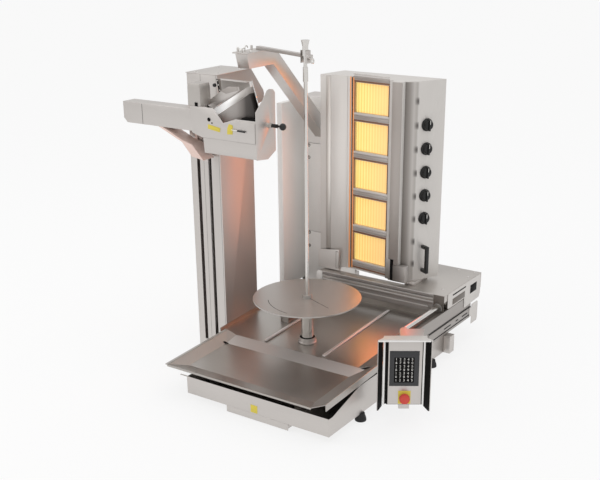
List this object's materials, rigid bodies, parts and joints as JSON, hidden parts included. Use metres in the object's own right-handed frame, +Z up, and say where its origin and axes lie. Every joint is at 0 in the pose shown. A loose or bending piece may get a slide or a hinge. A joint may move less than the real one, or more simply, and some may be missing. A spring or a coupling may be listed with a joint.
{
  "type": "electric skewer grill",
  "caption": "Electric skewer grill with a turning spit, a sliding heater column, a powered cutting head on a lift column, a drip pan, a front tray and a touch control box",
  "frame": {"origin": "middle of the bounding box in plan, at the floor under the rubber feet", "axes": "+X to the cook's right, +Y to the back, +Z up"},
  "size_m": [1.427, 1.2662, 1.334],
  "materials": {
    "satin_steel": "satin",
    "shiny_steel": "gloss",
    "cast_steel": "satin",
    "black_plastic": "matte",
    "black_rubber": "matte",
    "red_plastic": "gloss",
    "screen_glass": "gloss",
    "ceramic": "matte"
  },
  "bodies": {
    "base": {"base_shell": "satin_steel", "front_apron": "satin_steel", "plinth": "satin_steel", "rubber_feet": "black_rubber", "drip_pan": "satin_steel", "tray_rails": "satin_steel", "drawer_runners": "satin_steel", "spit_bearing": "satin_steel", "spit_motor": "cast_steel", "column_shell": "satin_steel", "column_front": "satin_steel", "column_cap": "satin_steel", "guide_rods": "shiny_steel", "lift_motor": "cast_steel", "rear_post": "satin_steel", "post_covers": "satin_steel", "side_shield": "satin_steel", "gooseneck": "satin_steel", "gooseneck_plate": "satin_steel", "rail_housing": "satin_steel", "left_rail": "satin_steel", "rail_rods": "shiny_steel", "side_cover": "satin_steel", "control_bracket": "satin_steel", "control_box": "black_plastic", "control_hood": "satin_steel", "touch_screen": "screen_glass"},
    "tray": {"front_tray": "satin_steel"},
    "drawer": {"grease_drawer": "satin_steel"},
    "spit": {"spit_shaft": "shiny_steel", "meat_disc": "satin_steel", "meat_rod": "shiny_steel", "spit_gear": "cast_steel"},
    "pinion": {"motor_pinion": "cast_steel"},
    "screw": {"lift_screw": "shiny_steel"},
    "lift": {"lift_carriage": "cast_steel", "arm_housing": "satin_steel", "arm_brace": "satin_steel"},
    "head": {"arm_slide": "cast_steel", "head_frame": "satin_steel", "head_motor": "satin_steel", "knife_drum": "satin_steel", "guard": "satin_steel"},
    "cutter": {"knife": "shiny_steel"},
    "plunger": {"lock_plunger": "black_plastic"},
    "swivel": {"swivel_bar": "satin_steel"},
    "wing": {"wing_screw": "shiny_steel"},
    "carriage": {"heater_carriage": "satin_steel", "carriage_blocks": "satin_steel", "heater_case": "satin_steel", "burner_frame": "satin_steel", "burners": "ceramic", "heater_brackets": "satin_steel", "heater_handle": "black_plastic"},
    "stop": {"stop_button": "red_plastic"},
    "dial_1": {"knob_1": "black_plastic"},
    "dial_2": {"knob_2": "black_plastic"},
    "dial_3": {"knob_3": "black_plastic"},
    "dial_4": {"knob_4": "black_plastic"},
    "dial_5": {"knob_5": "black_plastic"}
  },
  "joints": [
    {"name": "tray_slide", "type": "slide", "parent": "base", "child": "tray", "axis": [0, -0.9992, -0.0401], "range_m": [0, 0.3]},
    {"name": "drawer_slide", "type": "slide", "parent": "base", "child": "drawer", "axis": [0, -1, 0], "range_m": [0, 0.25]},
    {"name": "spit_turn", "type": "hinge", "parent": "base", "child": "spit", "pos_m": [0.09453, -0.154, 0.2], "axis": [0, 0, 1], "continuous": true},
    {"name": "pinion_turn", "type": "hinge", "parent": "base", "child": "pinion", "pos_m": [0.17453, -0.154, 0.09], "axis": [0, 0, 1], "continuous": true},
    {"name": "lift_slide", "type": "slide", "parent": "base", "child": "lift", "axis": [0, 0, 1], "range_m": [-0.5, 0.02]},
    {"name": "screw_turn", "type": "hinge", "parent": "base", "child": "screw", "pos_m": [-0.35597, -0.104, 0.6], "axis": [0, 0, 1], "range_deg": [-7210, 290]},
    {"name": "head_slide", "type": "slide", "parent": "lift", "child": "head", "axis": [1, 0, 0], "range_m": [-0.085, 0.05]},
    {"name": "knife_turn", "type": "hinge", "parent": "head", "child": "cutter", "pos_m": [-0.04447, -0.279, 1.141], "axis": [0.7666, 0.5989, 0.2317], "continuous": true},
    {"name": "plunger_press", "type": "slide", "parent": "head", "child": "plunger", "axis": [-1, 0, 0], "range_m": [0, 0.006], "stiffness_N_per_m": 400},
    {"name": "swivel_turn", "type": "hinge", "parent": "base", "child": "swivel", "pos_m": [-0.18547, -0.044, 1.278], "axis": [0, 0, 1], "range_deg": [0, 70]},
    {"name": "wing_turn", "type": "hinge", "parent": "swivel", "child": "wing", "pos_m": [0.11314, -0.16131, 1.2643], "axis": [0.9308, -0.3657, 0], "range_deg": [0, 90]},
    {"name": "carriage_slide", "type": "slide", "parent": "base", "child": "carriage", "axis": [0, -1, 0], "range_m": [0, 0.2]},
    {"name": "stop_press", "type": "slide", "parent": "base", "child": "stop", "axis": [-0.5446, 0.8387, 0], "range_m": [0, 0.006], "stiffness_N_per_m": 300},
    {"name": "dial_1_turn", "type": "hinge", "parent": "carriage", "child": "dial_1", "pos_m": [0.32773, 0.37516, 0.963], "axis": [0.8832, -0.469, 0], "range_deg": [0, 270]},
    {"name": "dial_2_turn", "type": "hinge", "parent": "carriage", "child": "dial_2", "pos_m": [0.32773, 0.37516, 0.86525], "axis": [0.8832, -0.469, 0], "range_deg": [0, 270]},
    {"name": "dial_3_turn", "type": "hinge", "parent": "carriage", "child": "dial_3", "pos_m": [0.32773, 0.37516, 0.7675], "axis": [0.8832, -0.469, 0], "range_deg": [0, 270]},
    {"name": "dial_4_turn", "type": "hinge", "parent": "carriage", "child": "dial_4", "pos_m": [0.32773, 0.37516, 0.66975], "axis": [0.8832, -0.469, 0], "range_deg": [0, 270]},
    {"name": "dial_5_turn", "type": "hinge", "parent": "carriage", "child": "dial_5", "pos_m": [0.32773, 0.37516, 0.572], "axis": [0.8832, -0.469, 0], "range_deg": [0, 270]}
  ],
  "couplings": [
    {"joint": "pinion_turn", "follows": "spit_turn", "ratio": -3},
    {"joint": "screw_turn", "follows": "lift_slide", "rad_per_m": 251.33}
  ]
}
